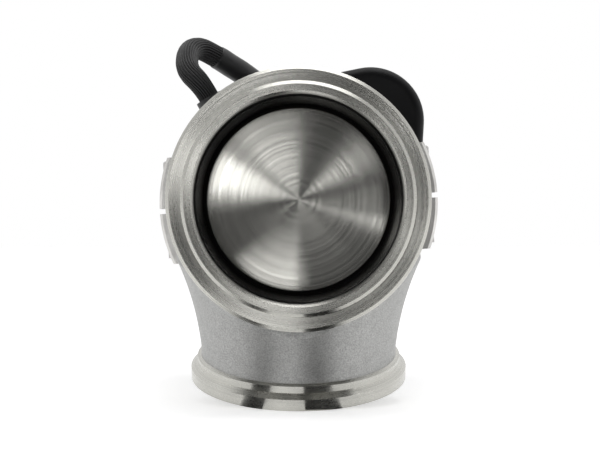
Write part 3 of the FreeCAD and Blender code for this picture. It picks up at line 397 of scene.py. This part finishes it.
def islands(obj):
    """The low and high corners of each separate solid in an object."""
    work = bmesh.new()
    work.from_mesh(obj.data)
    bmesh.ops.remove_doubles(work, verts=work.verts, dist=1e-6)
    seen = set()
    boxes = []
    for vertex in work.verts:
        if vertex in seen:
            continue
        seen.add(vertex)
        waiting = [vertex]
        places = []
        while waiting:
            current = waiting.pop()
            places.append(obj.matrix_world @ current.co)
            for edge in current.link_edges:
                other = edge.other_vert(current)
                if other not in seen:
                    seen.add(other)
                    waiting.append(other)
        boxes.append((Vector([min(place[i] for place in places) for i in range(3)]),
                      Vector([max(place[i] for place in places) for i in range(3)])))
    work.free()
    return boxes


TO_REAR = Matrix.Rotation(math.radians(-90), 4, "X")


def make_rear_screws(node):
    """Cap screws along +Y in place of a node's plain ones."""
    parts = []
    for number, (low, high) in enumerate(islands(nodes[node])):
        middle = (low + high) / 2
        seat = high.y - COVER_HEAD_HEIGHT
        placing = Matrix.Translation((middle.x, seat, middle.z)) @ TO_REAR
        parts.append(mesh_of("%s_%d" % (node, number),
                             socket_screw(placing, (high.x - low.x) / 2, COVER_HEAD_HEIGHT,
                                          COVER_SCREW_RADIUS, seat - low.y)))
    joined(node + "_detailed", parts, "screw_steel", node)


def make_clamp_screws():
    """The clamp's two cap screws, turned with the clamp and threaded at their lower ends."""
    turn = Matrix.Rotation(-CLAMP_TURN, 4, "Y")
    bolts = []
    for hand in (-1, 1):
        seated = turn @ Matrix.Translation((hand * CLAMP_BOLT_OUT, CLAMP_MIDDLE, CLAMP_SEAT))
        bolts.append(mesh_of("bolt", socket_screw(seated, *CLAMP_HEAD, CLAMP_BOLT_RADIUS,
                                                  CLAMP_BOLT_LENGTH, threaded=True)))
    joined("clamp_bolts_detailed", bolts, "screw_steel", "clamp_bolts")


PIN_OUT = 1.7
PIN_FOOT = 174.0
PIN_PROFILE = ((0.55, 0.0), (0.55, 7.0), (0.46, 7.6), (0.2, 8.0))
PIN_STEPS = 16
SEAL_RADIUS = 4.45
SEAL_SECTION = 0.5
SEAL_MIDDLE = 175.1
SEAL_STEPS = 40
SECTION_STEPS = 16


def make_pins():
    """Four tinned pins in the connector's mouth."""
    pins = []
    for across, up in ((-1, -1), (1, -1), (-1, 1), (1, 1)):
        foot = Vector((CONNECTOR_X + across * PIN_OUT, PIN_FOOT, CONNECTOR_Z + up * PIN_OUT)) * MM
        placing = Matrix.Translation(foot) @ TO_REAR
        pins.append(mesh_of("pin", [turned_ring(placing, radius * MM, station * MM, steps=PIN_STEPS)
                                    for radius, station in PIN_PROFILE]))
    joined("connector_pins", pins, "motor_zinc")


def make_seal():
    """A round face seal at the foot of the connector's mouth."""
    placing = Matrix.Translation(Vector((CONNECTOR_X, 0, CONNECTOR_Z)) * MM) @ TO_REAR
    rows = []
    for step in range(SECTION_STEPS + 1):
        angle = 2 * math.pi * step / SECTION_STEPS
        rows.append(turned_ring(placing, (SEAL_RADIUS + SEAL_SECTION * math.cos(angle)) * MM,
                                (SEAL_MIDDLE + SEAL_SECTION * math.sin(angle)) * MM,
                                steps=SEAL_STEPS))
    joined("connector_seal", [mesh_of("seal", rows, closed_ends=False)], "seal_rubber")


for screws in ("cover_screws", "bracket_screws"):
    make_rear_screws(screws)
make_clamp_screws()
make_pins()
make_seal()


# ---------------------------------------------------------------------------
# Finishes
# ---------------------------------------------------------------------------

class Finish:
    """A procedural material: one principled shader and the nodes that feed it."""

    def __init__(self, name, colour, roughness, metallic=0.0, **plain):
        self.material = bpy.data.materials.new(name)
        self.material.use_nodes = True
        self.tree = self.material.node_tree
        self.shader = self.tree.nodes["Principled BSDF"]
        self.shader.inputs["Base Color"].default_value = (*colour, 1)
        self.shader.inputs["Roughness"].default_value = roughness
        self.shader.inputs["Metallic"].default_value = metallic
        for key, value in plain.items():
            label = key.replace("_", " ").title().replace("Ior", "IOR")
            self.shader.inputs[label].default_value = value
        self.place = self.node("ShaderNodeTexCoord").outputs["Object"]

    def node(self, kind, **settings):
        made = self.tree.nodes.new(kind)
        for key, value in settings.items():
            setattr(made, key, value)
        return made

    def feed(self, socket, value):
        """Set a socket to a number or a vector, or link an output to it."""
        if isinstance(value, bpy.types.NodeSocket):
            self.tree.links.new(value, socket)
        else:
            socket.default_value = value

    def math(self, operation, first, second=0.0, clamp=False):
        made = self.node("ShaderNodeMath", operation=operation, use_clamp=clamp)
        self.feed(made.inputs[0], first)
        self.feed(made.inputs[1], second)
        return made.outputs[0]

    def vector(self, operation, first, second=(0, 0, 0)):
        made = self.node("ShaderNodeVectorMath", operation=operation)
        self.feed(made.inputs[0], first)
        self.feed(made.inputs[1], second)
        return made.outputs["Value" if operation in ("DOT_PRODUCT", "LENGTH") else "Vector"]

    def noise(self, scale, detail=3.0, roughness=0.5, where=None, dimensions="3D"):
        made = self.node("ShaderNodeTexNoise", noise_dimensions=dimensions)
        made.inputs["Scale"].default_value = scale
        made.inputs["Detail"].default_value = detail
        made.inputs["Roughness"].default_value = roughness
        if dimensions == "1D":
            self.feed(made.inputs["W"], where)
        else:
            self.feed(made.inputs["Vector"], where or self.place)
        return made.outputs["Fac"]

    def cells(self, scale):
        made = self.node("ShaderNodeTexVoronoi")
        made.inputs["Scale"].default_value = scale
        self.feed(made.inputs["Vector"], self.place)
        return made.outputs["Distance"]

    def spread(self, value, low, high, from_low=0.3, from_high=0.7):
        """Map a value from one span to another, held at both ends."""
        made = self.node("ShaderNodeMapRange")
        for socket, number in zip(made.inputs[:5], (value, from_low, from_high, low, high)):
            self.feed(socket, number)
        return made.outputs[0]

    def blend(self, factor, first, second):
        made = self.node("ShaderNodeMix", data_type="RGBA")
        for key, value in (("Factor_Float", factor), ("A_Color", first), ("B_Color", second)):
            socket = [item for item in made.inputs if item.identifier == key][0]
            if isinstance(value, tuple):
                value = (*value, 1)
            self.feed(socket, value)
        return made.outputs[2]

    def bump(self, height, distance, strength):
        made = self.node("ShaderNodeBump")
        made.inputs["Strength"].default_value = strength
        made.inputs["Distance"].default_value = distance
        self.feed(made.inputs["Height"], height)
        return made.outputs["Normal"]

    def into(self, name, value):
        self.feed(self.shader.inputs[name], value)


# Painted shade in the recess between valve and bore: the width of its soft edge, the share of
# colour it leaves, and the extra roughness it adds.
PAINTED_SHADE_EDGE = 1.5
PAINTED_SHADE_LEVEL = 0.035
PAINTED_SHADE_DULLING = 0.35


def turned_metal(name, colour, roughness=0.235, axis=(0, 1, 0), start=(0, 0, 0),
                 anisotropic=0.95, painted_shade_zone=None, worn=0.2):
    """Lathe-turned metal: fine rings about an axis, with streaks of wear.

    painted_shade_zone gives the radii, and the place along the axis it starts at, in millimetres,
    of the part of the recess painted near-black as shade; worn is the share of scuffs that run any
    way.
    """
    finish = Finish(name, colour, roughness, metallic=1.0, anisotropic=anisotropic,
                    anisotropic_rotation=0.25)
    offset = finish.vector("SUBTRACT", finish.place, tuple(start))
    round_way = finish.vector("CROSS_PRODUCT", tuple(axis), offset)
    radius = finish.vector("LENGTH", round_way)
    along = finish.vector("DOT_PRODUCT", offset, tuple(axis))
    station = finish.math("ADD", radius, along)
    rings = finish.noise(2600, 2.0, 0.6, where=station, dimensions="1D")
    broad = finish.noise(420, 2.0, 0.5, where=station, dimensions="1D")
    cloud = finish.noise(55, 4.0)
    tone = finish.math("ADD", finish.spread(broad, 0.0, 0.5), finish.spread(cloud, 0.0, 0.5))
    darker = tuple(channel * 0.85 for channel in colour)
    lighter = tuple(min(channel * 1.08, 1) for channel in colour)
    shade = finish.blend(tone, darker, lighter)
    # Painted shade: between the given radii and past the given depth, the colour is painted
    # near-black to stand in for the shade and dark reflections of the recess, and the surface is
    # made duller.
    if painted_shade_zone:
        inner, outer, depth = painted_shade_zone
        edge = finish.math("ADD", along, finish.math("MULTIPLY", cloud, 1.2 * MM))
        painted_shade_mask = finish.math("MULTIPLY",
                           finish.math("GREATER_THAN", radius, inner * MM),
                           finish.math("LESS_THAN", radius, outer * MM))
        painted_shade_mask = finish.math("MULTIPLY", painted_shade_mask, finish.spread(edge, 0.0, 1.0, depth * MM,
                                                           (depth + PAINTED_SHADE_EDGE) * MM))
        shade = finish.blend(painted_shade_mask, shade, tuple(channel * PAINTED_SHADE_LEVEL for channel in colour))
    finish.into("Base Color", shade)
    dull = finish.math("ADD", finish.noise(900, 2.0, where=station, dimensions="1D"),
                       finish.math("MULTIPLY", finish.noise(600, 5.0, 0.7), worn))
    gloss = finish.spread(dull, roughness * 0.88, roughness * (1.12 + 0.3 * worn),
                          0.3 + 0.3 * worn, 0.7 + 0.7 * worn)
    if painted_shade_zone:
        gloss = finish.math("ADD", gloss, finish.math("MULTIPLY", painted_shade_mask, PAINTED_SHADE_DULLING))
    finish.into("Roughness", gloss)
    height = finish.math("ADD", rings, finish.math("MULTIPLY", finish.noise(1400, 4.0, 0.7), worn))
    finish.into("Normal", finish.bump(height, 0.003 * MM, 0.4))
    finish.into("Tangent", finish.vector("NORMALIZE", round_way))
    return finish


def cast_steel(name, colour):
    """Sand-cast steel: sandy grain, small pits, slow lumps, and a bead-blasted dull sheen."""
    finish = Finish(name, colour, 0.4, metallic=1.0)
    grain = finish.noise(1500, 3.0, 0.65)
    pits = finish.cells(900)
    lumps = finish.noise(170, 3.0)
    height = finish.math("ADD", grain, finish.math("MULTIPLY", pits, 0.6))
    height = finish.math("ADD", height, finish.math("MULTIPLY", lumps, 0.9))
    finish.into("Normal", finish.bump(height, 0.06 * MM, 0.8))
    speck = finish.spread(finish.noise(2300, 2.0, 0.7), 0.0, 1.0, 0.35, 0.65)
    finish.into("Base Color", finish.blend(speck, tuple(c * 0.72 for c in colour),
                                           tuple(c * 1.12 for c in colour)))
    finish.into("Roughness", finish.spread(finish.noise(420, 3.0), 0.52, 0.62))
    return finish


def plain_metal(name, colour, roughness):
    """Milled or stamped metal with a fine grain and handling marks."""
    finish = Finish(name, colour, roughness, metallic=1.0)
    marks = finish.noise(1300, 3.0, 0.6)
    clouds = finish.spread(finish.noise(130, 4.0), 0.0, 1.0)
    finish.into("Base Color", finish.blend(clouds, tuple(c * 0.8 for c in colour),
                                           tuple(min(c * 1.1, 1) for c in colour)))
    finish.into("Roughness", finish.spread(marks, roughness * 0.8, roughness * 1.25))
    finish.into("Normal", finish.bump(marks, 0.02 * MM, 0.5))
    return finish


def moulded(name, colour, roughness, grain, depth, **plain):
    """Moulded or painted surface: fine leather-like grain and slight gloss change."""
    finish = Finish(name, colour, roughness, **plain)
    height = finish.math("ADD", finish.noise(grain, 3.0, 0.6), finish.cells(grain * 0.8))
    clouds = finish.spread(finish.noise(90, 4.0), 0.0, 1.0)
    finish.into("Base Color", finish.blend(clouds, tuple(c * 0.8 for c in colour),
                                           tuple(min(c * 1.25, 1) for c in colour)))
    finish.into("Roughness", finish.spread(finish.noise(260, 3.0), roughness * 0.88,
                                           roughness * 1.15))
    finish.into("Normal", finish.bump(height, depth * MM, 0.5))
    return finish


MACHINED = (0.565, 0.558, 0.52)

FINISHES = {
    # The inlet's bore is painted near-black as shade.
    "inlet_turned": turned_metal("inlet_turned", MACHINED, 0.24, painted_shade_zone=(0.0, 33.8, -1.5),
                                 anisotropic=0.87, worn=0.7),
    "outlet_turned": turned_metal("outlet_turned", MACHINED, 0.25, OUTLET_AXIS, OUTLET_START,
                                  worn=1.0),
    "cast_stainless": cast_steel("cast_stainless", (0.48, 0.48, 0.472)),
    # The valve's rounded edge and side are painted near-black as shade.
    "turned_stainless": turned_metal("turned_stainless", MACHINED, 0.21,
                                     painted_shade_zone=(29.85, 40.0, 11.0)),
    # The seat ring is painted near-black, standing in for the shade in the bore.
    "seat_alloy": turned_metal("seat_alloy", (0.05, 0.049, 0.047), 0.3),
    "guide_bronze": turned_metal("guide_bronze", (0.62, 0.45, 0.25), 0.3),
    "gasket_fibre": moulded("gasket_fibre", (0.17, 0.165, 0.155), 0.8, 700, 0.05),
    "clamp_steel": plain_metal("clamp_steel", (0.66, 0.65, 0.63), 0.4),
    "base_aluminium": turned_metal("base_aluminium", (0.68, 0.68, 0.69), 0.3),
    "black_housing": moulded("black_housing", (0.006, 0.006, 0.0065), 0.42, 1400, 0.012,
                             specular_ior_level=0.15),
    "black_cover": moulded("black_cover", (0.008, 0.008, 0.0085), 0.45, 1200, 0.018,
                           specular_ior_level=0.2),
    "screw_steel": plain_metal("screw_steel", (0.46, 0.45, 0.44), 0.27),
    "gear_steel": plain_metal("gear_steel", (0.40, 0.39, 0.38), 0.3),
    "seal_rubber": moulded("seal_rubber", (0.02, 0.02, 0.02), 0.6, 900, 0.02),
    "motor_zinc": plain_metal("motor_zinc", (0.60, 0.61, 0.62), 0.35),
    "board_green": moulded("board_green", (0.02, 0.13, 0.05), 0.4, 1500, 0.01),
    "lead_rubber": moulded("lead_rubber", (0.014, 0.014, 0.0145), 0.45, 1600, 0.015,
                           specular_ior_level=0.4),
    "shrink_black": moulded("shrink_black", (0.017, 0.017, 0.0175), 0.42, 800, 0.012),
    "connector_black": moulded("connector_black", (0.016, 0.016, 0.017), 0.45, 1300, 0.02),
}
NODE_SLOTS = {
    "inlet_flange": "inlet_turned", "outlet_flange": "outlet_turned",
    "valve_body": "cast_stainless", "valve_seat": "seat_alloy", "valve": "turned_stainless",
    "stem_guide": "guide_bronze", "insulating_gasket": "gasket_fibre",
    "actuator_base": "base_aluminium", "stem_seal": "seal_rubber", "clamp_upper": "clamp_steel",
    "clamp_lower": "clamp_steel", "clamp_bolts": "screw_steel", "clamp_nuts": "screw_steel",
    "actuator_housing": "black_housing", "cover_gasket": "seal_rubber", "rear_cover": "black_cover",
    "base_screws": "screw_steel", "cover_screws": "screw_steel", "nut_gear": "gear_steel",
    "front_bearing": "gear_steel", "rear_bearing": "gear_steel", "lead_screw": "gear_steel",
    "anti_rotation_sleeve": "guide_bronze", "motor_can": "motor_zinc", "motor_rotor": "gear_steel",
    "motor_pinion": "gear_steel", "sensor_magnet": "motor_zinc", "sensor_board": "board_green",
    "cable_gland": "connector_black", "lead_sleeve": "lead_rubber", "heat_shrink": "shrink_black",
    "connector": "connector_black", "connector_bracket": "clamp_steel",
    "bracket_screws": "screw_steel",
}


def dress(obj, slot):
    obj.data.materials.clear()
    obj.data.materials.append(FINISHES[slot].material)


def dress_everything():
    for name, obj in nodes.items():
        dress(obj, NODE_SLOTS[name])
    for obj, slot in own_pieces:
        dress(obj, slot)


dress_everything()


# ---------------------------------------------------------------------------
# Studio: world, floor, dark cards and lamps, none of it part of the object
# ---------------------------------------------------------------------------

def stage_sheet(name, near, far, material):
    """A sheet between two rows of places."""
    mesh = bpy.data.meshes.new(name)
    count = len(near)
    faces = [(i, i + 1, count + i + 1, count + i) for i in range(count - 1)]
    mesh.from_pydata(near + far, [], faces)
    obj = bpy.data.objects.new(name, mesh)
    bpy.context.scene.collection.objects.link(obj)
    mesh.materials.append(material)
    return obj


def backdrop_ray(tree):
    """1 for rays from the camera, off a gloss or through glass."""
    path = tree.nodes.new("ShaderNodeLightPath")
    total = None
    for name in ("Is Camera Ray", "Is Glossy Ray", "Is Transmission Ray"):
        if total is None:
            total = path.outputs[name]
            continue
        step = tree.nodes.new("ShaderNodeMath")
        step.operation = "MAXIMUM"
        tree.links.new(total, step.inputs[0])
        tree.links.new(path.outputs[name], step.inputs[1])
        total = step.outputs[0]
    return total


WORLD_STRENGTH = 0.5
FLOOR_GLOW = 0.55
FLOOR_HALF = 4.0


def make_world():
    """White where the camera or a gloss sees it, and softer as a light."""
    world = bpy.data.worlds.new("studio")
    bpy.context.scene.world = world
    world.use_nodes = True
    tree = world.node_tree
    background = tree.nodes["Background"]
    background.inputs["Color"].default_value = (1, 1, 1, 1)
    level = tree.nodes.new("ShaderNodeMapRange")
    level.inputs["To Min"].default_value = WORLD_STRENGTH
    level.inputs["To Max"].default_value = 1.0
    tree.links.new(backdrop_ray(tree), level.inputs["Value"])
    tree.links.new(level.outputs[0], background.inputs["Strength"])


def make_floor():
    """White paper, lifted by a glow that lights nothing, so that the shadow stays."""
    finish = Finish("floor_paper", (0.82, 0.82, 0.82), 0.9)
    tone = finish.spread(finish.noise(30, 3.0), 0.0, 1.0)
    finish.into("Base Color", finish.blend(tone, (0.81, 0.81, 0.81), (0.83, 0.83, 0.83)))
    glow = finish.node("ShaderNodeEmission")
    glow.inputs["Strength"].default_value = FLOOR_GLOW
    both = finish.node("ShaderNodeAddShader")
    finish.feed(both.inputs[0], finish.shader.outputs[0])
    finish.feed(both.inputs[1], glow.outputs[0])
    mix = finish.node("ShaderNodeMixShader")
    finish.feed(mix.inputs[0], backdrop_ray(finish.tree))
    finish.feed(mix.inputs[1], finish.shader.outputs[0])
    finish.feed(mix.inputs[2], both.outputs[0])
    output = finish.tree.nodes["Material Output"]
    finish.feed(output.inputs["Surface"], mix.outputs[0])
    low = cad_box[0][2]
    half = FLOOR_HALF
    stage_sheet("floor", [(-half, -half, low), (half, -half, low)],
                [(-half, half, low), (half, half, low)], finish.material)


def toward(azimuth, elevation, distance):
    """A place seen from the part: azimuth 0 is in front of it and 90 to its right."""
    across = distance * math.cos(math.radians(elevation))
    return Vector((across * math.sin(math.radians(azimuth)),
                   -across * math.cos(math.radians(azimuth)),
                   distance * math.sin(math.radians(elevation))))


CARD_SHADE = 0.03
CARD_STEPS = 8
CARD_DISTANCE = 1.25
CARD_LIFT = 0.5 * MM
WALL_SPAN = (-56, 23)
WALL_TOP = 3.0
# Each wing's name, span of azimuths and foot.
WINGS = (("card_wing_left", (-78, WALL_SPAN[0]), 0.22),
         ("card_wing_right", (WALL_SPAN[1], 72), 0.13))
FAR_FLOOR_SPAN = (-64, 55)
NEAR_FLOOR = 0.105
STRIP_START = 21 * MM
# Each strip's name, its near end's left and right in millimetres, and its span of azimuths.
STRIPS = (("card_strip_left", (-21, -11), (-56, -31)),
          ("card_strip_right", (2, 14), (5, 36)))


def make_card(name, near, far):
    """A dark matt card, which only reflections see."""
    finish = Finish(name, (CARD_SHADE,) * 3, 0.9)
    tone = finish.spread(finish.noise(12, 2.0), 0.0, 1.0)
    finish.into("Base Color", finish.blend(tone, (CARD_SHADE * 0.9,) * 3,
                                           (CARD_SHADE * 1.1,) * 3))
    card = stage_sheet(name, near, far, finish.material)
    card.visible_camera = False
    card.visible_diffuse = False
    card.visible_shadow = False


def arc_of_places(span, distance, height):
    return [toward(span[0] + (span[1] - span[0]) * step / CARD_STEPS, 0, distance)
            + Vector((0, 0, height)) for step in range(CARD_STEPS + 1)]


def row_of_places(first, last, y, height):
    return [Vector((first + (last - first) * step / CARD_STEPS, y, height))
            for step in range(CARD_STEPS + 1)]


def make_cards():
    """A wall with two wings behind the camera, the far floor, and two strips near the part."""
    low = cad_box[0][2] + CARD_LIFT
    make_card("card_wall", arc_of_places(WALL_SPAN, CARD_DISTANCE, low),
              arc_of_places(WALL_SPAN, CARD_DISTANCE, WALL_TOP))
    for name, span, foot in WINGS:
        make_card(name, arc_of_places(span, CARD_DISTANCE, foot),
                  arc_of_places(span, CARD_DISTANCE, WALL_TOP))
    make_card("card_far_floor", arc_of_places(FAR_FLOOR_SPAN, NEAR_FLOOR, low),
              arc_of_places(FAR_FLOOR_SPAN, CARD_DISTANCE, low))
    for name, (left, right), span in STRIPS:
        make_card(name, row_of_places(left * MM, right * MM, STRIP_START, low),
                  arc_of_places(span, NEAR_FLOOR, low))


# Each lamp's name, azimuth, elevation and distance, width, height, radiance and roll.
LAMPS = (("lamp_left", (-26, 9.5, 1.1), 0.62, 0.18, 3.8, -21),
         ("lamp_over", (-5, 10, 1.15), 0.20, 0.12, 4.2, 0),
         ("lamp_right", (8, 6.5, 1.15), 0.08, 0.08, 6, 0),
         ("lamp_side", (21, -5, 0.6), 0.09, 0.03, 3, 0),
         ("lamp_low", (-15, -28, 0.13), 0.06, 0.025, 2.4, 0))
TOP_LAMP_PLACE = (0.1, 0.1, 1.2)
LAMP_TARGET = Vector((0, 0.02, 0))


def make_lamp(name, place, width, height, radiance, roll):
    """A soft box aimed at the part, which the camera doesn't see."""
    data = bpy.data.lights.new(name, "AREA")
    data.shape = "RECTANGLE"
    data.size = width
    data.size_y = height
    data.energy = radiance * math.pi * width * height
    lamp = bpy.data.objects.new(name, data)
    bpy.context.scene.collection.objects.link(lamp)
    lamp.location = place
    direction = LAMP_TARGET - Vector(place)
    turn = Matrix.Rotation(math.radians(roll), 3, "Z")
    lamp.rotation_euler = (direction.to_track_quat("-Z", "Y").to_matrix() @ turn).to_euler()
    lamp.visible_camera = False


def make_studio():
    make_world()
    make_floor()
    make_cards()
    for name, place, width, height, radiance, roll in LAMPS:
        make_lamp(name, toward(*place), width, height, radiance, roll)
    make_lamp("lamp_top", TOP_LAMP_PLACE, 0.9, 0.9, 2.0, 0)


make_studio()
bpy.context.scene.view_settings.view_transform = "Standard"
